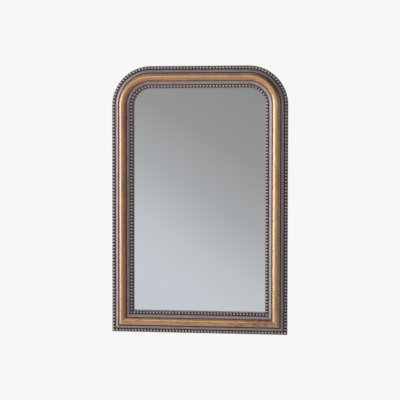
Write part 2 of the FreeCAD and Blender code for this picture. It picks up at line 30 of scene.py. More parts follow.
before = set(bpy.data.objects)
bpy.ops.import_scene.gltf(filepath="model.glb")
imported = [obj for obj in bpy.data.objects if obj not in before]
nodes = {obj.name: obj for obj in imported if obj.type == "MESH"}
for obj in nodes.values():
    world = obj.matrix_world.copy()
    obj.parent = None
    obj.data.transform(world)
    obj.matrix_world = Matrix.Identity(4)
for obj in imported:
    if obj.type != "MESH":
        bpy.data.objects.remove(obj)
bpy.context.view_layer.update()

# Outline of the frame
HALF = 0.300
TOP = 0.190
BOTTOM = -0.720
CORNER_RADIUS = 0.134
SPRING = TOP - CORNER_RADIUS
ARC_CENTRE = HALF - CORNER_RADIUS
WALL_GAP = 0.006

# Section of the moulding as (u, v): a torus between two quirks and two sloped fillets, a bead
# seat beyond each fillet, the lip over the glass and the rebate behind it
OUTER_SEAT_V = 0.014
OUTER_FILLET = [(0.013, 0.020), (0.0228, 0.029)]
QUIRK_V = 0.027
TORUS_MIDDLE = 0.03855
TORUS_HALF = 0.01375
TORUS_RISE = 0.0115
TORUS_CHORDS = 22
INNER_FILLET = [(0.0543, 0.031), (0.063, 0.025)]
INNER_SEAT_V = 0.020
LIP = [(0.074, 0.020), (0.076, 0.012)]
SIGHT_U = 0.076
REBATE_U = 0.0695
LEDGE_V = 0.010
SOFT_CORNER = 0.0007

# Bead strips: the strip's thickness, the beads' pitch, how much they differ in size and place,
# and for each row where it starts across the moulding, its width and seat, and a bead's height
# and half-widths across and along the strip
BEAD_BASE = 0.0015
BEAD_PITCH = 0.0109
BEAD_WOBBLE = 0.06
BEAD_SHIFT = 0.00018
BEAD_ROWS = {
    "outer": {"start": 0.0, "width": 0.013, "seat": OUTER_SEAT_V, "height": 0.0045,
              "across": 0.0057, "along": 0.0051},
    "inner": {"start": 0.063, "width": 0.011, "seat": INNER_SEAT_V, "height": 0.0040,
              "across": 0.0051, "along": 0.0049},
}

# Turn buttons and screws
BUTTON_INSET = 0.0605
BUTTON_LEVELS = (-0.490, -0.130)
BUTTON_RADIUS = 0.0065
BUTTON_HALF = 0.0045
BUTTON_LENGTH = 0.024
BUTTON_CHAMFER = 0.002
BUTTON_THICKNESS = 0.0015
BUTTON_GAP = 0.0003
BUTTON_EDGE = 0.00022
GROOVE_RADIUS = 0.0012
GROOVE_LENGTH = 0.013
GROOVE_MIDDLE = 0.0125
GROOVE_LIFT = 0.0002
SCREW_HOLE = 0.00185
SCREW_RADIUS = 0.00175
SCREW_LENGTH = 0.012
SCREW_HEAD_RADIUS = 0.0033
SCREW_HEAD = 0.0018
SCREW_HEAD_ROUND = 0.0011
SCREW_HEAD_GAP = 0.0002
RECESS_REACH = 0.0034
RECESS_SLOT = 0.0007
RECESS_DEPTH = 0.0018
RECESS_FOOT = 0.0008

# Hangers: the strap reaches down from the ring's pivot
HANGER_X = 0.266
HANGER_PIVOT = Vector((0.0, -0.0035, -0.0145))
STRAP_HALF = 0.008
STRAP_TAIL = 0.034
STRAP_THICKNESS = 0.002
STRAP_HOLES = (0.0085, 0.032)
STRAP_EDGE = 0.00025
BARREL_RADIUS = 0.0025
WIRE_RADIUS = 0.0015
WIRE_PLAY = 0.0001
RING_HALF = 0.0085
RING_BEND = 0.003
RING_LEG = 0.0015

BUMPER_RADIUS = 0.008
BUMPER_ROUND = 0.0016
BUMPER_INSET = 0.030

# Overlap of pieces that are merged, and how near to a face its vertices are looked for
OVERLAP = 0.0002
NEAR = 0.0001

# Places along the moulding are counted in metres, from an own start for each member
RIGHT_FROM, TOP_FROM, BOTTOM_FROM = 2.0, 4.0, 6.0
# The same as stops of a ramp from -1 to 7: where the stiles end, where their arcs meet the top,
# and a place short of the right stile's start
LEFT_SPRING, LEFT_TOP = 0.132, 0.158
RIGHT_START, RIGHT_SPRING, RIGHT_TOP = 0.25, 0.382, 0.408

# The leaf is worn most near the right end of the bottom rail
WORN_END = BOTTOM_FROM + 0.20

# Tint of the leaf by member, partly a toning glaze and partly painted light and shade: pinkish
# and darker on the left stile as painted shade, thin and light on the right one as painted
# light, and warm round the head
LEFT_TONE = "#E2D3C6"
RIGHT_TONE = "#F6FFF2"
HEAD_TONE = "#F3E7CF"

# How much dark paint shows through the wash, by place across the moulding; in the quirks and the
# bead seats the dark is partly paint and partly painted shade
WASH_REACH = 0.080
WASH_DIRT_AND_SHADE = [
    (0.0, 0.35), (0.0012, 0.8), (0.0132, 0.75), (0.0150, 0.15), (0.0212, 0.10), (0.0226, 0.55),
    (0.0232, 0.93), (0.0400, 0.93), (0.0525, 0.45), (0.0545, 0.2), (0.0570, 0.06),
    (0.0605, 0.2), (0.0630, 0.5), (0.0640, 0.8), (0.0738, 0.8), (0.0746, 0.5), (0.0760, 0.4)]

PINE = ("#D9BC8E", "#B98F5E")

QUARTER = math.pi / 2
SIDES = {"left": -1, "right": 1}


# Shader nodes

def paint(code):
    """Linear colour of an sRGB hex value."""
    channels = [int(code[n:n + 2], 16) / 255 for n in (1, 3, 5)]
    return [c / 12.92 if c <= 0.04045 else ((c + 0.055) / 1.055) ** 2.4 for c in channels] + [1.0]


def grey(level):
    return [level, level, level, 1.0]


def set_inputs(tree, node, inputs):
    """Set the inputs of a node to values, or link them to sockets."""
    for socket, value in inputs.items():
        if isinstance(value, bpy.types.NodeSocket):
            tree.links.new(value, node.inputs[socket])
        else:
            node.inputs[socket].default_value = value


def add_node(tree, kind, inputs=None, stops=(), **settings):
    """Add a shader node with its settings, its inputs and the stops of a colour ramp, which are
    hex colours or grey levels."""
    made = tree.nodes.new("ShaderNode" + kind)
    for name, value in settings.items():
        setattr(made, name, value)
    set_inputs(tree, made, inputs or {})
    if stops:
        elements = made.color_ramp.elements
        colours = [(place, paint(tone) if isinstance(tone, str) else grey(tone))
                   for place, tone in stops]
        for place, colour in colours[1:-1]:
            elements.new(place).color = colour
        for element, (place, colour) in ((elements[0], colours[0]), (elements[-1], colours[-1])):
            element.position, element.color = place, colour
    return made


def new_material(name):
    material = bpy.data.materials.new(name)
    material.use_nodes = True
    tree = material.node_tree
    return material, tree, tree.nodes["Principled BSDF"]


# Materials

def antique_gold_leaf():
    """Loose gold leaf over red clay bole on the round of the moulding, rubbed through and toned
    with umber. Soft streaks run along it, the red shows where it is worn, the umber stays by the
    quirks, partly as glaze and partly as painted shade on the flanks, each member's tint adds
    painted light and shade, and each leaf's lap is a faint line across."""
    material, tree, shader = new_material("antique_gold_leaf")
    place = add_node(tree, "Attribute", attribute_name="moulding").outputs["Vector"]
    along, u, v = add_node(tree, "SeparateXYZ", {0: place}).outputs
    # Tone drifts from tan to pink and olive over a hand's length
    drifts = add_node(tree, "Mapping", {"Vector": place, "Scale": (9, 30, 20)})
    drift = add_node(tree, "TexNoise", {
        "Vector": drifts.outputs[0], "Scale": 1.0, "Detail": 3.0, "Roughness": 0.6})
    leaf = add_node(tree, "ValToRGB", {0: drift.outputs["Fac"]}, stops=[
        (0.30, "#B08A48"), (0.44, "#CE9C5C"), (0.56, "#D69E66"), (0.68, "#BE7A50")])
    # Streaks of the brush, 2 mm wide and 40 mm long
    streaks = add_node(tree, "Mapping", {"Vector": place, "Scale": (26, 480, 120)})
    streak = add_node(tree, "TexNoise", {
        "Vector": streaks.outputs[0], "Scale": 1.0, "Detail": 5.0, "Roughness": 0.7})
    tone = add_node(tree, "ValToRGB", {0: streak.outputs["Fac"]}, stops=[
        (0.30, "#7A5840"), (0.46, "#DCCBB6"), (0.60, "#FFFFFF")])
    toned = add_node(tree, "Mix", {0: 0.7, 6: leaf.outputs[0], 7: tone.outputs[0]},
                     data_type="RGBA", blend_type="MULTIPLY")
    # Red-brown bole shows in patches of 6 to 25 mm, most of them at one end of the bottom rail
    flecks = add_node(tree, "Mapping", {
        "Vector": place, "Scale": (60, 110, 60), "Location": (3.1, 1.7, 0.4)})
    fleck = add_node(tree, "TexNoise", {
        "Vector": flecks.outputs[0], "Scale": 1.0, "Detail": 5.0, "Roughness": 0.65})
    end = add_node(tree, "Math", {0: along, 1: WORN_END}, operation="SUBTRACT")
    far = add_node(tree, "Math", {0: end.outputs[0]}, operation="ABSOLUTE")
    zone = add_node(tree, "MapRange", {
        "Value": far.outputs[0], "From Min": 0.02, "From Max": 0.13, "To Min": 0.14,
        "To Max": 0.0}, interpolation_type="SMOOTHSTEP")
    rubbed = add_node(tree, "Math", {0: fleck.outputs["Fac"], 1: zone.outputs[0]}, operation="ADD")
    worn = add_node(tree, "ValToRGB", {0: rubbed.outputs[0]}, stops=[(0.60, 0.0), (0.70, 0.9)])
    bole = add_node(tree, "Mix", {0: worn.outputs[0], 6: toned.outputs[2], 7: paint("#8A3C22")},
                    data_type="RGBA")
    # A few umber specks of 3 mm, as if flicked from a brush
    specks = add_node(tree, "Mapping", {
        "Vector": place, "Scale": (190, 230, 90), "Location": (0.3, 2.2, 5.1)})
    speck = add_node(tree, "TexNoise", {"Vector": specks.outputs[0], "Scale": 1.0, "Detail": 1.0})
    flicked = add_node(tree, "ValToRGB", {0: speck.outputs["Fac"]}, stops=[
        (0.70, 0.0), (0.78, 0.7)])
    specked = add_node(tree, "Mix", {
        0: flicked.outputs[0], 6: bole.outputs[2], 7: paint("#5E4A2E")}, data_type="RGBA")
    # Umber beside the quirks, partly glaze where a rag doesn't reach and partly painted shade on
    # the torus's flanks; thinner on the inner side, but kept on the left stile, where it is
    # painted shade on the inner flank, which is turned from the window
    height = add_node(tree, "MapRange", {"Value": v, "From Min": 0.0268, "From Max": 0.0360})
    umber = add_node(tree, "ValToRGB", {0: height.outputs[0]}, stops=[
        (0.0, 1.0), (0.3, 0.92), (0.65, 0.5), (1.0, 0.0)])
    stretch = add_node(tree, "MapRange", {"Value": along, "From Min": -1.0, "From Max": 7.0})
    inner = add_node(tree, "ValToRGB", {0: stretch.outputs[0]}, stops=[
        (0.0, 0.8), (LEFT_SPRING, 0.8), (LEFT_TOP, 0.3)])
    outer = add_node(tree, "MapRange", {
        "Value": u, "From Min": 0.034, "From Max": 0.044, "To Min": 1.0,
        "To Max": inner.outputs[0]})
    umber_and_shade = add_node(tree, "Math", {0: umber.outputs[0], 1: outer.outputs[0]}, operation="MULTIPLY")
    glazed_and_shaded = add_node(tree, "Mix", {
        0: umber_and_shade.outputs[0], 6: specked.outputs[2], 7: paint("#46302A")}, data_type="RGBA")
    # The tint changes from member to member, partly glaze and partly painted light and shade, and
    # blends round the corners
    member_tint_light_and_shade = add_node(tree, "ValToRGB", {0: stretch.outputs[0]}, stops=[
        (0.0, LEFT_TONE), (LEFT_SPRING, LEFT_TONE), (LEFT_TOP, HEAD_TONE),
        (RIGHT_START, RIGHT_TONE), (RIGHT_SPRING, RIGHT_TONE), (RIGHT_TOP, HEAD_TONE),
        (0.70, HEAD_TONE), (0.80, 1.0)])
    toned_and_shaded = add_node(tree, "Mix", {0: 1.0, 6: glazed_and_shaded.outputs[2], 7: member_tint_light_and_shade.outputs[0]},
                    data_type="RGBA", blend_type="MULTIPLY")
    rough = add_node(tree, "MapRange", {
        "Value": streak.outputs["Fac"], "To Min": 0.34, "To Max": 0.50})
    # Leaf laps every 160 mm and the drag of the brush
    lap = add_node(tree, "Math", {0: along, 1: 0.080}, operation="PINGPONG")
    line = add_node(tree, "MapRange", {"Value": lap.outputs[0], "From Max": 0.0012})
    relief = add_node(tree, "Math", {0: streak.outputs["Fac"], 1: line.outputs[0]},
                      operation="ADD")
    bump = add_node(tree, "Bump", {
        "Height": relief.outputs[0], "Distance": 0.0001, "Strength": 0.2})
    set_inputs(tree, shader, {
        "Base Color": toned_and_shaded.outputs[2], "Metallic": 0.5, "Roughness": rough.outputs[0],
        "Coat Weight": 1.0, "Coat IOR": 1.95, "Coat Roughness": 0.28, "Normal": bump.outputs[0]})
    return material


def pewter_tone(tree, place):
    """Grey-lilac wash, dragged along the moulding and drifting to olive: its drag and colour."""
    drags = add_node(tree, "Mapping", {"Vector": place, "Scale": (30, 520, 150)})
    drag = add_node(tree, "TexNoise", {
        "Vector": drags.outputs[0], "Scale": 1.0, "Detail": 4.0, "Roughness": 0.6})
    wash = add_node(tree, "ValToRGB", {0: drag.outputs["Fac"]}, stops=[
        (0.28, "#87757A"), (0.52, "#AE9B9F"), (0.74, "#C2B0B3")])
    drifts = add_node(tree, "Mapping", {
        "Vector": place, "Scale": (7, 40, 40), "Location": (0.7, 0.2, 0.0)})
    drift = add_node(tree, "TexNoise", {"Vector": drifts.outputs[0], "Scale": 1.0, "Detail": 2.0})
    olive = add_node(tree, "ValToRGB", {0: drift.outputs["Fac"]}, stops=[
        (0.48, 0.0), (0.72, 0.55)])
    tinted = add_node(tree, "Mix", {0: olive.outputs[0], 6: wash.outputs[0], 7: paint("#9F9788")},
                      data_type="RGBA")
    return drag.outputs["Fac"], tinted.outputs[2]


def pewter_wash():
    """Grey-lilac wash over dark bronze paint on the flat members: wiped thin on the fillets and
    the lip, nearly black in the bead seats and the quirks, partly as painted shade."""
    material, tree, shader = new_material("pewter_wash")
    place = add_node(tree, "Attribute", attribute_name="moulding").outputs["Vector"]
    _, u, _ = add_node(tree, "SeparateXYZ", {0: place}).outputs
    drag, tone = pewter_tone(tree, place)
    across = add_node(tree, "MapRange", {"Value": u, "From Max": WASH_REACH})
    # Dark paint, and painted shade in the quirks and bead seats, by place across the moulding
    dirt_and_shade = add_node(tree, "ValToRGB", {0: across.outputs[0]}, stops=[
        (start / WASH_REACH, level) for start, level in WASH_DIRT_AND_SHADE])
    washed = add_node(tree, "Mix", {0: dirt_and_shade.outputs[0], 6: tone, 7: paint("#2A1F1C")},
                      data_type="RGBA")
    bump = add_node(tree, "Bump", {"Height": drag, "Distance": 0.0001, "Strength": 0.5})
    set_inputs(tree, shader, {
        "Base Color": washed.outputs[2], "Metallic": 0.2, "Roughness": 0.45,
        "Normal": bump.outputs[0]})
    return material


def pearl_wash():
    """The same wash on the beads: dark bronze left between them and on their seat, partly as
    painted shade, and worn pale on their crowns, partly as a painted highlight."""
    material, tree, shader = new_material("pewter_wash_beads")
    place = add_node(tree, "Attribute", attribute_name="moulding").outputs["Vector"]
    _, tone = pewter_tone(tree, place)
    bead = add_node(tree, "Attribute", attribute_name="pearl").outputs["Vector"]
    along, across, height = add_node(tree, "SeparateXYZ", {0: bead}).outputs
    # From 0 on the crown to 1 between two beads, and less on the flanks beside the row; the dark
    # between the beads is partly paint and partly painted shade
    reach = add_node(tree, "Math", {0: along, 1: along}, operation="MULTIPLY")
    flank = add_node(tree, "Math", {0: across, 1: across}, operation="MULTIPLY")
    depth = add_node(tree, "Math", {0: flank.outputs[0], 1: 0.1, 2: reach.outputs[0]},
                     operation="MULTIPLY_ADD")
    dirt_and_shade = add_node(tree, "ValToRGB", {0: depth.outputs[0]}, stops=[
        (0.08, 0.2), (0.42, 0.85), (0.7, 1.0)])
    # Near black on the seat at each bead's foot, partly paint and partly painted shade, and pale
    # on the crowns, partly wear and partly a painted highlight
    seat = add_node(tree, "ValToRGB", {0: height}, stops=[(0.05, 0.9), (0.25, 0.0)])
    worn = add_node(tree, "ValToRGB", {0: height}, stops=[(0.6, 0.0), (1.0, 0.3)])
    dirty_and_shaded = add_node(tree, "Mix", {0: dirt_and_shade.outputs[0], 6: tone, 7: paint("#281A18")},
                     data_type="RGBA")
    seated = add_node(tree, "Mix", {0: seat.outputs[0], 6: dirty_and_shaded.outputs[2], 7: paint("#281A18")},
                      data_type="RGBA")
    crown_wear_and_highlight = add_node(tree, "Mix", {0: worn.outputs[0], 6: seated.outputs[2], 7: paint("#D6C4C3")},
                     data_type="RGBA")
    set_inputs(tree, shader, {
        "Base Color": crown_wear_and_highlight.outputs[2], "Metallic": 0.45, "Roughness": 0.34,
        "Coat Weight": 0.6, "Coat IOR": 1.8, "Coat Roughness": 0.3})
    return material


def bare_wood(name, pale, dark, along):
    """Planed softwood or beech with its grain along one axis."""
    material, tree, shader = new_material(name)
    place = add_node(tree, "TexCoord").outputs["Object"]
    # Growth rings 3 mm apart, drawn out along the grain
    scale = [330.0, 330.0, 330.0]
    scale[along] = 9.0
    grain = add_node(tree, "Mapping", {"Vector": place, "Scale": scale})
    rings = add_node(tree, "TexNoise", {
        "Vector": grain.outputs[0], "Scale": 1.0, "Detail": 3.0, "Distortion": 0.6})
    colour = add_node(tree, "ValToRGB", {0: rings.outputs["Fac"]}, stops=[
        (0.35, pale), (0.65, dark)])
    bump = add_node(tree, "Bump", {
        "Height": rings.outputs["Fac"], "Distance": 0.00015, "Strength": 0.5})
    set_inputs(tree, shader, {
        "Base Color": colour.outputs[0], "Roughness": 0.72, "Normal": bump.outputs[0]})
    return material


def hardboard():
    """Brown pressed fibreboard: a fine felt of fibres with a few pale flecks."""
    material, tree, shader = new_material("hardboard")
    place = add_node(tree, "TexCoord").outputs["Object"]
    # Fibres are 1 mm long, drawn at 3 mm so that they show
    fibre = add_node(tree, "TexNoise", {
        "Vector": place, "Scale": 340.0, "Detail": 5.0, "Roughness": 0.75})
    cloud = add_node(tree, "TexNoise", {"Vector": place, "Scale": 22.0, "Detail": 3.0})
    felt = add_node(tree, "Math", {0: cloud.outputs["Fac"], 1: 0.25, 2: fibre.outputs["Fac"]},
                    operation="MULTIPLY_ADD")
    colour = add_node(tree, "ValToRGB", {0: felt.outputs[0]}, stops=[
        (0.42, "#4B3222"), (0.62, "#6B4A32"), (0.84, "#87603F")])
    bump = add_node(tree, "Bump", {
        "Height": fibre.outputs["Fac"], "Distance": 0.0002, "Strength": 0.6})
    set_inputs(tree, shader, {
        "Base Color": colour.outputs[0], "Roughness": 0.62, "Normal": bump.outputs[0]})
    return material


def silvered_glass():
    """Float glass silvered on its back: a clean, nearly neutral mirror with the faintest
    cloudiness."""
    material, tree, shader = new_material("silvered_glass")
    place = add_node(tree, "TexCoord").outputs["Object"]
    haze = add_node(tree, "TexNoise", {"Vector": place, "Scale": 3.0, "Detail": 2.0})
    colour = add_node(tree, "ValToRGB", {0: haze.outputs["Fac"]}, stops=[
        (0.3, "#F3F4F5"), (0.7, "#F6F7F8")])
    set_inputs(tree, shader, {
        "Base Color": colour.outputs[0], "Metallic": 1.0, "Roughness": 0.015})
    return material


def zinc_plate(name, tone, roughness):
    """Bright zinc plating on steel, with a faint mottle and fine rolling marks."""
    material, tree, shader = new_material(name)
    place = add_node(tree, "TexCoord").outputs["Object"]
    mottle = add_node(tree, "TexNoise", {"Vector": place, "Scale": 700.0, "Detail": 4.0})
    marks = add_node(tree, "Mapping", {"Vector": place, "Scale": (3000, 600, 200)})
    rolled = add_node(tree, "TexNoise", {"Vector": marks.outputs[0], "Scale": 1.0, "Detail": 2.0})
    colour = add_node(tree, "ValToRGB", {0: mottle.outputs["Fac"]}, stops=[
        (0.3, "#B4B4AE"), (0.7, tone)])
    rough = add_node(tree, "MapRange", {
        "Value": mottle.outputs["Fac"], "To Min": roughness, "To Max": roughness + 0.12})
    bump = add_node(tree, "Bump", {
        "Height": rolled.outputs["Fac"], "Distance": 0.00003, "Strength": 0.5})
    set_inputs(tree, shader, {
        "Base Color": colour.outputs[0], "Metallic": 1.0, "Roughness": rough.outputs[0],
        "Normal": bump.outputs[0]})
    return material


def black_rubber():
    """Moulded black rubber with a fine dusty bloom."""
    material, tree, shader = new_material("black_rubber")
    place = add_node(tree, "TexCoord").outputs["Object"]
    bloom = add_node(tree, "TexNoise", {"Vector": place, "Scale": 420.0, "Detail": 4.0})
    colour = add_node(tree, "ValToRGB", {0: bloom.outputs["Fac"]}, stops=[
        (0.35, "#1B1B1B"), (0.75, "#343332")])
    bump = add_node(tree, "Bump", {
        "Height": bloom.outputs["Fac"], "Distance": 0.00008, "Strength": 0.5})
    set_inputs(tree, shader, {
        "Base Color": colour.outputs[0], "Roughness": 0.68, "Normal": bump.outputs[0]})
    return material


GOLD = antique_gold_leaf()
WASH = pewter_wash()
PEARL = pearl_wash()
PINE_UPRIGHT = bare_wood("bare_pine_upright", *PINE, 2)
PINE_LEVEL = bare_wood("bare_pine_level", *PINE, 0)
BEECH = bare_wood("beech", "#D8B58C", "#B98A62", 2)
HARDBOARD = hardboard()
MIRROR = silvered_glass()
RUBBER = black_rubber()
BUTTON_ZINC = zinc_plate("zinc_plated_sheet", "#D2D2CC", 0.30)
SCREW_ZINC = zinc_plate("zinc_plated_screw", "#C8C8C2", 0.28)
HANGER_ZINC = zinc_plate("zinc_plated_hanger", "#D6D6D0", 0.26)


# Modelling

def pick(piece):
    """Select one piece alone and make it the active one."""
    bpy.ops.object.select_all(action="DESELECT")
    piece.select_set(True)
    bpy.context.view_layer.objects.active = piece


def edit(piece):
    """Open one piece for editing, with nothing selected."""
    pick(piece)
    bpy.ops.object.mode_set(mode="EDIT")
    bpy.ops.mesh.select_mode(type="VERT")
    bpy.ops.mesh.select_all(action="DESELECT")


def close_edit():
    bpy.ops.object.mode_set(mode="OBJECT")


def settle(piece, name):
    """Name a piece and move its place into its mesh."""
    piece.name = name
    piece.data.name = name
    pick(piece)
    bpy.ops.object.transform_apply(location=True, rotation=True, scale=True)
    return piece


def select_where(test):
    """Select the vertices of the open mesh that pass a test."""
    mesh = bmesh.from_edit_mesh(bpy.context.active_object.data)
    for vertex in mesh.verts:
        vertex.select = test(vertex.co)
    mesh.select_flush_mode()
    bmesh.update_edit_mesh(bpy.context.active_object.data)


def turn_outwards():
    """Turn all faces of the open mesh outwards."""
    bpy.ops.mesh.select_all(action="SELECT")
    bpy.ops.mesh.normals_make_consistent(inside=False)


def push(*way):
    """Extrude what is selected in the open mesh."""
    bpy.ops.mesh.extrude_region_move(TRANSFORM_OT_translate={"value": way})


def draw_loop(name, points):
    """A wire loop, drawn by extruding one vertex from corner to corner."""
    bpy.ops.object.select_all(action="DESELECT")
    bpy.ops.mesh.primitive_plane_add(size=0.001)
    piece = settle(bpy.context.active_object, name)
    edit(piece)
    bpy.ops.mesh.select_all(action="SELECT")
    bpy.ops.mesh.merge(type="CENTER")
    bpy.ops.transform.translate(value=points[0])
    for before, after in zip(points, points[1:]):
        push(*(after - before))
    bpy.ops.mesh.select_all(action="SELECT")
    bpy.ops.mesh.edge_face_add()
    return piece


def smooth(piece, degrees=35):
    pick(piece)
    bpy.ops.object.shade_smooth_by_angle(angle=math.radians(degrees))


def apply_modifier(piece, kind, **settings):
    tool = piece.modifiers.new("tool", kind)
    for name, value in settings.items():
        setattr(tool, name, value)
    pick(piece)
    bpy.ops.object.modifier_apply(modifier=tool.name)


def combine(piece, other, operation):
    """Cut another piece away from one, or merge it in, and delete it."""
    apply_modifier(piece, "BOOLEAN", object=other, operation=operation, solver="EXACT")
    bpy.data.objects.remove(other)


def soften_edges(piece, width):
    apply_modifier(piece, "BEVEL", width=width, segments=2, limit_method="ANGLE",
                   angle_limit=math.radians(40))


def round_bar(name, radius, depth, place, turn=(QUARTER, 0, 0), vertices=32):
    """A cylinder, along Y unless it is turned."""
    bpy.ops.object.select_all(action="DESELECT")
    bpy.ops.mesh.primitive_cylinder_add(
        vertices=vertices, radius=radius, depth=depth, location=place, rotation=turn)
    return settle(bpy.context.active_object, name)


def plate(name, outline, front, thickness):
    """A flat plate in the XZ plane, from its front face backwards."""
    piece = draw_loop(name, [Vector((x, front, z)) for x, z in outline])
    bpy.ops.mesh.select_all(action="SELECT")
    push(0, thickness, 0)
    turn_outwards()
    close_edit()
    return piece


def arc(centre, radius, first, last, steps):
    """Points of an arc, between two angles in degrees."""
    for step in range(steps + 1):
        angle = math.radians(first + (last - first) * step / steps)
        yield centre[0] + radius * math.cos(angle), centre[1] + radius * math.sin(angle)


def copy_of(model, matrix):
    """A copy of a model with its own mesh, moved by a matrix."""
    piece = model.copy()
    piece.data = model.data.copy()
    bpy.context.scene.collection.objects.link(piece)
    piece.data.transform(matrix)
    return piece


def join_onto(piece, others):
    bpy.ops.object.select_all(action="DESELECT")
    for other in (*others, piece):
        other.select_set(True)
    bpy.context.view_layer.objects.active = piece
    bpy.ops.object.join()


def hand_in(piece, body, node):
    """Let a piece ride on a body, in place of a node."""
    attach(piece, body)
    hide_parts(node)


# Moulding

def bends(side, way):
    """A quarter turn about the centre of an upper corner."""
    return ("turn", Vector((SIDES[side] * ARC_CENTRE, 0, SPRING)), way)


# Each member: a corner of its first section, its inward direction, and the moves that its section
# makes. The spare length is cut off by the mitres.
UP, ACROSS = Vector((0, 0, 1)), Vector((1, 0, 0))
SPARE = 0.004
RISE = UP * (SPRING - BOTTOM + SPARE)
MEMBERS = {
    "left": (Vector((-HALF, 0, BOTTOM - SPARE)), ACROSS, [("run", RISE)]),
    "right": (Vector((HALF, 0, BOTTOM - SPARE)), -ACROSS, [("run", RISE)]),
    "bottom": (Vector((-HALF - SPARE, 0, BOTTOM)), UP, [("run", ACROSS * 2 * (HALF + SPARE))]),
    "top": (Vector((-ARC_CENTRE, 0, TOP)), -UP, [("run", ACROSS * 2 * ARC_CENTRE)]),
    "left_arc": (Vector((-HALF, 0, SPRING)), ACROSS, [bends("left", -1)]),
    "right_arc": (Vector((HALF, 0, SPRING)), -ACROSS, [bends("right", 1)]),
    "head": (Vector((-HALF, 0, SPRING)), ACROSS,
             [bends("left", -1), ("run", ACROSS * 2 * ARC_CENTRE), bends("right", -1)]),
}


def cut_mitre(side, keep):
    """Cut the open mesh along a bottom corner's mitre, and keep its stile or its rail."""
    normal = Vector((SIDES[side], 0, 1)) * (1 if keep == "bottom" else -1)
    bpy.ops.mesh.select_all(action="SELECT")
    bpy.ops.mesh.bisect(
        plane_co=(SIDES[side] * HALF, 0, BOTTOM), plane_no=normal, clear_outer=True)


def sweep(name, member, section, soften, step):
    """Run a section along a member in even steps, mitre it at the bottom corners and close it."""
    corner, inward, moves = MEMBERS[member]
    points = [corner + inward * u + Vector((0, -WALL_GAP - v, 0)) for u, v in section]
    piece = draw_loop(name, points)
    select_where(lambda place: any((place - points[n]).length < 1e-6 for n in soften))
    bpy.ops.mesh.bevel(offset=SOFT_CORNER, offset_type="OFFSET", segments=2, affect="VERTICES")
    bpy.ops.mesh.select_all(action="SELECT")
    bpy.ops.mesh.delete(type="ONLY_FACE")
    bpy.ops.mesh.select_all(action="SELECT")
    for kind, value, *way in moves:
        if kind == "run":
            count = max(1, round(value.length / step))
            for _ in range(count):
                push(*(value / count))
        else:
            count = round(QUARTER * (CORNER_RADIUS - section[0][0]) / step)
            bpy.ops.mesh.spin(steps=count, angle=way[0] * QUARTER, center=value, axis=(0, 1, 0))
    if member == "bottom":
        cut_mitre("left", member)
        cut_mitre("right", member)
    elif member in SIDES:
        cut_mitre(member, member)
    bpy.ops.mesh.select_all(action="SELECT")
    bpy.ops.mesh.remove_doubles(threshold=0.00001)
    bpy.ops.mesh.select_all(action="SELECT")
    bpy.ops.mesh.fill_holes(sides=0)
    turn_outwards()
    close_edit()
    return piece


def measure(place):
    """Place on the moulding: how far along its member, inwards and forwards."""
    x, y, z = place
    forward = -y - WALL_GAP
    start = RIGHT_FROM if x > 0 else 0.0
    if z > SPRING and abs(x) > ARC_CENTRE:
        across, rise = abs(x) - ARC_CENTRE, z - SPRING
        along = SPRING + CORNER_RADIUS * math.atan2(rise, across)
        return along + start, CORNER_RADIUS - math.hypot(across, rise), forward
    if z > SPRING:
        return TOP_FROM + x, TOP - z, forward
    if z - BOTTOM < HALF - abs(x):
        return BOTTOM_FROM + x, z - BOTTOM, forward
    return z + start, HALF - abs(x), forward


def store_measures(piece):
    """Keep each vertex's place on the moulding for the materials."""
    store = piece.data.attributes.new("moulding", "FLOAT_VECTOR", "POINT")
    for vertex in piece.data.vertices:
        store.data[vertex.index].vector = measure(vertex.co)


def moulding_section():
    """Corners of the moulding's section, with the torus in short chords, and which of them are
    softened."""
    radius = (TORUS_HALF ** 2 + TORUS_RISE ** 2) / (2 * TORUS_RISE)
    reach = math.asin(TORUS_HALF / radius)
    torus = []
    for step in range(TORUS_CHORDS + 1):
        angle = -reach + 2 * reach * step / TORUS_CHORDS
        torus.append((TORUS_MIDDLE + radius * math.sin(angle),
                      QUIRK_V + TORUS_RISE - radius + radius * math.cos(angle)))
    fillet_start, fillet_end = OUTER_FILLET[0][0], OUTER_FILLET[1][0]
    section = [(0, 0), (0, OUTER_SEAT_V), (fillet_start, OUTER_SEAT_V), *OUTER_FILLET,
               (fillet_end, QUIRK_V), *torus, (INNER_FILLET[0][0], QUIRK_V), *INNER_FILLET,
               (INNER_FILLET[1][0], INNER_SEAT_V), *LIP, (SIGHT_U, LEDGE_V), (REBATE_U, LEDGE_V),
               (REBATE_U, 0)]
    return section, [section.index(corner) for corner in (*OUTER_FILLET, *INNER_FILLET, LIP[1])]


def face_finish(u, v):
    """Which of a member's finishes a face has: 0 wash, 1 gold leaf, 2 bare wood."""
    if v < NEAR or u > REBATE_U - NEAR and v < LEDGE_V + NEAR:
        return 2
    return int(abs(u - TORUS_MIDDLE) < TORUS_HALF - NEAR and v > QUIRK_V - NEAR)


def dress_members():
    """The four members, gilt on the round, washed on the flats and bare wood behind."""
    section, soften = moulding_section()
    members = {"left": "left_stile", "right": "right_stile", "bottom": "bottom_rail",
               "head": "arched_head"}
    for member, node in members.items():
        piece = sweep(f"{node}_moulding", member, section, soften, step=0.008)
        store_measures(piece)
        for material in (WASH, GOLD, PINE_UPRIGHT if member in SIDES else PINE_LEVEL):
            piece.data.materials.append(material)
        for face in piece.data.polygons:
            face.material_index = face_finish(*measure(face.center)[1:])
        smooth(piece)
        hand_in(piece, "root", node)


# Bead strips

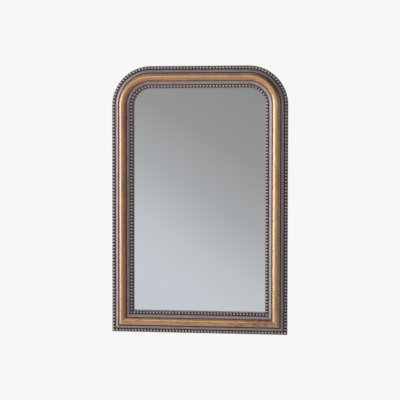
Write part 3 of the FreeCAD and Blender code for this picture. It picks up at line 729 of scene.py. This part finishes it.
def model_bead(row):
    """One pearl: a flattened ball, cut off below the strip's surface, with its pole forwards."""
    size = BEAD_ROWS[row]
    bpy.ops.object.select_all(action="DESELECT")
    bpy.ops.mesh.primitive_uv_sphere_add(
        segments=12, ring_count=8, radius=1, rotation=(QUARTER, 0, 0))
    bead = settle(bpy.context.active_object, f"{row}_bead_model")
    edit(bead)
    bpy.ops.mesh.select_all(action="SELECT")
    bpy.ops.mesh.bisect(
        plane_co=(0, 0.15, 0), plane_no=(0, 1, 0), clear_outer=True, use_fill=True)
    close_edit()
    store = bead.data.attributes.new("pearl", "FLOAT_VECTOR", "POINT")
    for vertex in bead.data.vertices:
        x, y, z = vertex.co
        store.data[vertex.index].vector = (z, x, -y)
    edit(bead)
    bpy.ops.mesh.select_all(action="SELECT")
    bpy.ops.transform.resize(
        value=(size["across"], size["height"], size["along"]), center_override=(0, 0, 0))
    close_edit()
    return bead


def bead_places(row, member):
    """Centre of each bead in a strip, with its turn about Y."""
    size = BEAD_ROWS[row]
    inset = size["start"] + size["width"] / 2
    depth = -(WALL_GAP + size["seat"] + BEAD_BASE)
    if member.endswith("_arc"):
        side = SIDES[member[:-4]]
        radius = CORNER_RADIUS - inset
        count = round(QUARTER * radius / BEAD_PITCH)
        for n in range(count):
            angle = (n + 0.5) * QUARTER / count
            x = side * (ARC_CENTRE + radius * math.cos(angle))
            yield Vector((x, depth, SPRING + radius * math.sin(angle))), -side * angle
    elif member == "top":
        count = round(2 * ARC_CENTRE / BEAD_PITCH)
        for n in range(count):
            x = (n + 0.5) / count * 2 * ARC_CENTRE - ARC_CENTRE
            yield Vector((x, depth, TOP - inset)), QUARTER
    elif member == "bottom":
        run = 2 * (HALF - inset)
        count = round(run / BEAD_PITCH)
        for n in range(1, count):
            yield Vector((n / count * run - run / 2, depth, BOTTOM + inset)), QUARTER
    else:
        run = SPRING - BOTTOM - inset
        count = round(run / BEAD_PITCH + 0.5)
        for n in range(count):
            z = BOTTOM + inset + n * run / (count - 0.5)
            yield Vector((SIDES[member] * (HALF - inset), depth, z)), 0.0


def dress_strips():
    """Bead strips: a thin bar with soft edges under a row of pearls, each a little different in
    size and set, as carved or pressed by hand."""
    chance = random.Random(7)
    for row, size in BEAD_ROWS.items():
        model = model_bead(row)
        start, end = size["start"], size["start"] + size["width"]
        low, high = size["seat"], size["seat"] + BEAD_BASE
        section = [(start, low), (start, high), (end, high), (end, low)]
        for member in ("left", "right", "top", "bottom", "left_arc", "right_arc"):
            node = f"{row}_bead_{member}"
            strip = sweep(f"{node}_pearls", member, section, soften=(1, 2), step=0.010)
            beads = []
            for place, turn in bead_places(row, member):
                wobble = [1 + chance.uniform(-BEAD_WOBBLE, BEAD_WOBBLE) for _ in range(3)]
                shift = Vector((chance.uniform(-1, 1), 0, chance.uniform(-1, 1))) * BEAD_SHIFT
                beads.append(copy_of(model, Matrix.Translation(place + shift)
                                     @ Matrix.Rotation(turn, 4, "Y")
                                     @ Matrix.Diagonal((*wobble, 1))))
            join_onto(strip, beads)
            store_measures(strip)
            strip.data.materials.clear()
            strip.data.materials.append(PEARL)
            smooth(strip)
            hand_in(strip, "root", node)
        bpy.data.objects.remove(model)


# Hardware on the back

def drill(piece, x, z):
    """A screw hole through a sheet that lies on the back."""
    hole = round_bar("hole", SCREW_HOLE, 0.01, (x, -0.005, z))
    combine(piece, hole, "DIFFERENCE")


def button_places():
    """Pivot of each turn button, with the quarter turns that point its arm over the board."""
    across = HALF - BUTTON_INSET
    places = [(side * across, level, 1 + side) for side in (-1, 1) for level in BUTTON_LEVELS]
    return places + [(0, TOP - BUTTON_INSET, 1), (0, BOTTOM + BUTTON_INSET, -1)]


def dress_buttons():
    """Turn buttons stamped from sheet, round at the pivot and chamfered at the tip."""
    shoulder, corner = BUTTON_LENGTH - BUTTON_CHAMFER, BUTTON_HALF - BUTTON_CHAMFER
    outline = [*arc((0, 0), BUTTON_RADIUS, 90, 270, 16), (shoulder, -BUTTON_HALF),
               (BUTTON_LENGTH, -corner), (BUTTON_LENGTH, corner), (shoulder, BUTTON_HALF)]
    model = plate("turn_button_model", outline, BUTTON_GAP - WALL_GAP, BUTTON_THICKNESS)
    drill(model, 0, 0)
    # A shallow groove pressed along the arm stiffens it
    middle = (GROOVE_MIDDLE, BUTTON_GAP - WALL_GAP + BUTTON_THICKNESS + GROOVE_LIFT, 0)
    groove = round_bar("groove", GROOVE_RADIUS, GROOVE_LENGTH, middle, (0, QUARTER, 0), 16)
    combine(model, groove, "DIFFERENCE")
    soften_edges(model, BUTTON_EDGE)
    for number, (x, z, turn) in enumerate(button_places(), start=1):
        matrix = Matrix.Translation((x, 0, z)) @ Matrix.Rotation(turn * QUARTER, 4, "Y")
        piece = copy_of(model, matrix)
        piece.name = f"turn_button_{number}_stamped"
        piece.data.materials.append(BUTTON_ZINC)
        smooth(piece)
        hand_in(piece, f"turn_button_{number}", f"turn_button_{number}")
    bpy.data.objects.remove(model)


def model_screw():
    """Pan-head wood screw with a cross recess, its head's underside at Y = 0."""
    screw = round_bar("screw_model", SCREW_HEAD_RADIUS, SCREW_HEAD, (0, SCREW_HEAD / 2, 0),
                      vertices=40)
    edit(screw)
    select_where(lambda place: place.y > SCREW_HEAD - NEAR)
    bpy.ops.mesh.bevel(offset=SCREW_HEAD_ROUND, segments=5)
    close_edit()
    shank = round_bar("shank", SCREW_RADIUS, SCREW_LENGTH, (0, OVERLAP - SCREW_LENGTH / 2, 0),
                      vertices=16)
    combine(screw, shank, "UNION")
    # Each blade of the recess narrows to half its size at its foot
    middle = (0, RECESS_FOOT + RECESS_DEPTH / 2, 0)
    blades = ((0, RECESS_REACH, RECESS_SLOT), (QUARTER, RECESS_SLOT, RECESS_REACH))
    for turn, width, height in blades:
        bpy.ops.object.select_all(action="DESELECT")
        bpy.ops.mesh.primitive_cube_add(size=1, location=middle, rotation=(0, turn, 0))
        blade = settle(bpy.context.active_object, "blade")
        edit(blade)
        bpy.ops.mesh.select_all(action="SELECT")
        bpy.ops.transform.resize(value=(width, RECESS_DEPTH, height), center_override=middle)
        select_where(lambda place: place.y < RECESS_FOOT + NEAR)
        bpy.ops.transform.resize(value=(0.5, 1, 0.5), center_override=(0, RECESS_FOOT, 0))
        close_edit()
        combine(screw, blade, "DIFFERENCE")
    return screw


def dress_screws():
    """Screws of the buttons and of the hangers, each turned as it came to rest."""
    model = model_screw()
    buttons = [(x, z) for x, z, _ in button_places()]
    straps = [(side * HANGER_X, HANGER_PIVOT.z - hole) for side in (-1, 1) for hole in STRAP_HOLES]
    under_head = SCREW_HEAD_GAP - WALL_GAP
    groups = {
        "turn_button_screws": (buttons, under_head + BUTTON_GAP + BUTTON_THICKNESS),
        "hanger_screws": (straps, under_head + STRAP_THICKNESS),
    }
    chance = random.Random(3)
    for node, (places, seat) in groups.items():
        *screws, piece = [
            copy_of(model, Matrix.Translation((x, seat, z))
                    @ Matrix.Rotation(chance.uniform(0, QUARTER), 4, "Y"))
            for x, z in places]
        join_onto(piece, screws)
        piece.name = f"{node}_recessed"
        piece.data.materials.append(SCREW_ZINC)
        smooth(piece, 30)
        hand_in(piece, "root", node)
    bpy.data.objects.remove(model)


def model_strap(name, pivot):
    """Strap with a round tail, curled into a barrel at its top."""
    tail = arc((pivot.x, pivot.z - STRAP_TAIL), STRAP_HALF, 180, 360, 20)
    outline = [(pivot.x + STRAP_HALF, pivot.z), (pivot.x - STRAP_HALF, pivot.z), *tail]
    strap = plate(name, outline, -WALL_GAP, STRAP_THICKNESS)
    barrel = round_bar("barrel", BARREL_RADIUS, 2 * STRAP_HALF, pivot, (0, QUARTER, 0))
    combine(strap, barrel, "UNION")
    bore = round_bar("bore", WIRE_RADIUS + WIRE_PLAY, 0.02, pivot, (0, QUARTER, 0))
    combine(strap, bore, "DIFFERENCE")
    for hole in STRAP_HOLES:
        drill(strap, pivot.x, pivot.z - hole)
    soften_edges(strap, STRAP_EDGE)
    return strap


def model_ring(name, pivot):
    """Ring bent from round wire, from the middle of its straight bar round to the same place."""
    bpy.ops.object.select_all(action="DESELECT")
    bpy.ops.mesh.primitive_circle_add(
        vertices=14, radius=WIRE_RADIUS, location=pivot, rotation=(0, QUARTER, 0))
    ring = settle(bpy.context.active_object, name)
    edit(ring)
    bpy.ops.mesh.select_all(action="SELECT")

    def bend(steps, angle, x, z):
        centre = pivot + Vector((x, 0, z))
        bpy.ops.mesh.spin(steps=steps, angle=angle, center=centre, axis=(0, 1, 0))

    push(RING_HALF, 0, 0)
    bend(6, QUARTER, RING_HALF, RING_BEND)
    push(0, 0, RING_LEG)
    bend(28, 2 * QUARTER, 0, RING_BEND + RING_LEG)
    push(0, 0, -RING_LEG)
    bend(6, QUARTER, -RING_HALF, RING_BEND)
    push(RING_HALF, 0, 0)
    bpy.ops.mesh.select_all(action="SELECT")
    bpy.ops.mesh.remove_doubles(threshold=0.00005)
    turn_outwards()
    close_edit()
    return ring


def dress_hangers():
    """Strap hangers with a curled barrel, and rings bent from round wire."""
    for side, sign in SIDES.items():
        pivot = HANGER_PIVOT + Vector((sign * HANGER_X, 0, 0))
        strap = model_strap(f"hanger_strap_{side}_curled", pivot)
        ring = model_ring(f"d_ring_{side}_wire", pivot)
        for piece, degrees in ((strap, 35), (ring, 60)):
            piece.data.materials.append(HANGER_ZINC)
            smooth(piece, degrees)
        hand_in(strap, "root", f"hanger_strap_{side}")
        hand_in(ring, f"d_ring_{side}", f"d_ring_{side}")


def dress_bumpers():
    """Self-adhesive rubber bumpers, domed at the rim."""
    corners = ((HALF - BUMPER_INSET, BOTTOM + BUMPER_INSET),
               (ARC_CENTRE - BUMPER_INSET, TOP - BUMPER_INSET))
    bumpers = []
    for x, z in [(side * x, z) for side in (-1, 1) for x, z in corners]:
        bumper = round_bar("bumper", BUMPER_RADIUS, WALL_GAP, (x, -WALL_GAP / 2, z), vertices=40)
        edit(bumper)
        select_where(lambda place: place.y > -NEAR)
        bpy.ops.mesh.bevel(offset=BUMPER_ROUND, segments=4)
        close_edit()
        bumpers.append(bumper)
    piece, *others = bumpers
    join_onto(piece, others)
    settle(piece, "wall_bumpers_domed")
    piece.data.materials.append(RUBBER)
    smooth(piece)
    hand_in(piece, "root", "wall_bumpers")


def finish_nodes():
    """The glass, board, blocks and joint pieces keep their own solids."""
    finishes = {"mirror_glass": MIRROR, "backing_board": HARDBOARD, "setting_blocks": RUBBER,
                "stile_tongues": BEECH, "mitre_keys": BEECH}
    for node, material in finishes.items():
        nodes[node].data.materials.clear()
        nodes[node].data.materials.append(material)


# Studio

def set_camera():
    """The photograph's view: 3.5 m away, a little right of the mirror and above its middle."""
    data = bpy.data.cameras.new("camera")
    data.lens = 92.66
    data.shift_x = 0.0345
    data.shift_y = -0.0490
    camera = bpy.data.objects.new("camera", data)
    bpy.context.scene.collection.objects.link(camera)
    yaw, pitch, roll = math.radians(6.52), math.radians(1.89), math.radians(0.05)
    ahead = Vector((-math.sin(yaw) * math.cos(pitch), math.cos(yaw) * math.cos(pitch),
                    -math.sin(pitch)))
    level = Vector((math.cos(yaw), math.sin(yaw), 0))
    over = level.cross(ahead)
    right = math.cos(roll) * level + math.sin(roll) * over
    over = math.cos(roll) * over - math.sin(roll) * level
    turn = Matrix((right, over, -ahead)).transposed().to_4x4()
    camera.matrix_world = Matrix.Translation((0.353, -3.5, -0.083)) @ turn
    bpy.context.scene.camera = camera


def add_lamp(name, place, target, size, power, colour="#FFFFFF"):
    data = bpy.data.lights.new(name, "AREA")
    data.shape = "RECTANGLE"
    data.size, data.size_y = size
    data.energy = power
    data.color = paint(colour)[:3]
    lamp = bpy.data.objects.new(name, data)
    bpy.context.scene.collection.objects.link(lamp)
    lamp.location = place
    lamp.rotation_euler = (Vector(target) - Vector(place)).to_track_quat("-Z", "Y").to_euler()


def set_room():
    """Pale backdrop for the camera, and a soft room for the mirror: mid grey above eye level,
    light and a little blue below, lighter to the left, dim to the upper right, pale behind."""
    world = bpy.data.worlds.new("studio")
    bpy.context.scene.world = world
    world.use_nodes = True
    tree = world.node_tree
    tree.nodes.clear()
    way = add_node(tree, "TexCoord").outputs["Generated"]
    x, y, z = add_node(tree, "SeparateXYZ", {0: way}).outputs
    # What the glass reflects: a slanting gradient from grey to pale blue
    slant = add_node(tree, "Math", {0: x, 1: -0.65, 2: -0.05}, operation="MULTIPLY_ADD")
    down = add_node(tree, "Math", {0: slant.outputs[0], 1: z}, operation="SUBTRACT")
    level = add_node(tree, "MapRange", {
        "Value": down.outputs[0], "From Min": -0.8, "From Max": 0.8})
    facing = add_node(tree, "ValToRGB", {0: level.outputs[0]}, stops=[
        (0.0, "#7C7C7C"), (0.25, "#8C8C8C"), (0.45, "#949394"), (0.5, "#9C9C9D"),
        (0.5375, "#AEB0B2"), (0.575, "#C6CACD"), (0.6, "#CCD0D6"), (1.0, "#CED2D8")])
    # The rest of the room, which lights the moulding
    rise = add_node(tree, "Math", {0: z, 1: x}, operation="ADD")
    walls = add_node(tree, "MapRange", {
        "Value": rise.outputs[0], "From Min": -1.1, "From Max": 1.1, "To Min": 0.76,
        "To Max": 0.26})
    corner = add_node(tree, "Math", {0: x, 1: z}, operation="MINIMUM")
    shade = add_node(tree, "MapRange", {
        "Value": corner.outputs[0], "From Min": 0.05, "From Max": 0.5, "To Min": 1.0,
        "To Max": 0.1})
    aside = add_node(tree, "MapRange", {"Value": y, "From Min": -0.965, "From Max": -0.84},
                     interpolation_type="SMOOTHSTEP")
    behind = add_node(tree, "MapRange", {"Value": y, "From Min": 0.05, "From Max": 0.45},
                      interpolation_type="SMOOTHSTEP")
    ahead = add_node(tree, "Mix", {0: aside.outputs[0], 6: facing.outputs[0], 7: walls.outputs[0]},
                     data_type="RGBA")
    around = add_node(tree, "Mix", {0: behind.outputs[0], 6: ahead.outputs[2], 7: grey(0.92)},
                      data_type="RGBA")
    room = add_node(tree, "Mix", {0: 1.0, 6: around.outputs[2], 7: shade.outputs[0]},
                    data_type="RGBA", blend_type="MULTIPLY")
    seen = add_node(tree, "LightPath").outputs["Is Camera Ray"]
    view = add_node(tree, "Mix", {0: seen, 6: room.outputs[2], 7: paint("#F6F6F6")},
                    data_type="RGBA")
    light = add_node(tree, "Background", {"Color": view.outputs[2], "Strength": 1.0})
    add_node(tree, "OutputWorld", {"Surface": light.outputs[0]})


def set_floor():
    bpy.ops.object.select_all(action="DESELECT")
    bpy.ops.mesh.primitive_circle_add(
        vertices=96, radius=1.1, fill_type="NGON", location=(0, 0, -1.3))
    floor = settle(bpy.context.active_object, "studio_floor")
    material, tree, shader = new_material("pale_floor")
    set_inputs(tree, shader, {"Base Color": paint("#FAFAFA"), "Roughness": 0.8})
    floor.data.materials.append(material)


dress_members()
dress_strips()
dress_buttons()
dress_screws()
dress_hangers()
dress_bumpers()
finish_nodes()
set_camera()
set_room()
add_lamp("window_left", (-3.9, -1.75, 0.1), (0, 0, -0.265), (2.6, 2.6), 102, "#FFFCFA")
add_lamp("panel_above", (-0.2, -1.8, 0.58), (0, 0, -0.4), (1.8, 0.5), 7)
set_floor()
bpy.context.scene.view_settings.view_transform = "Standard"
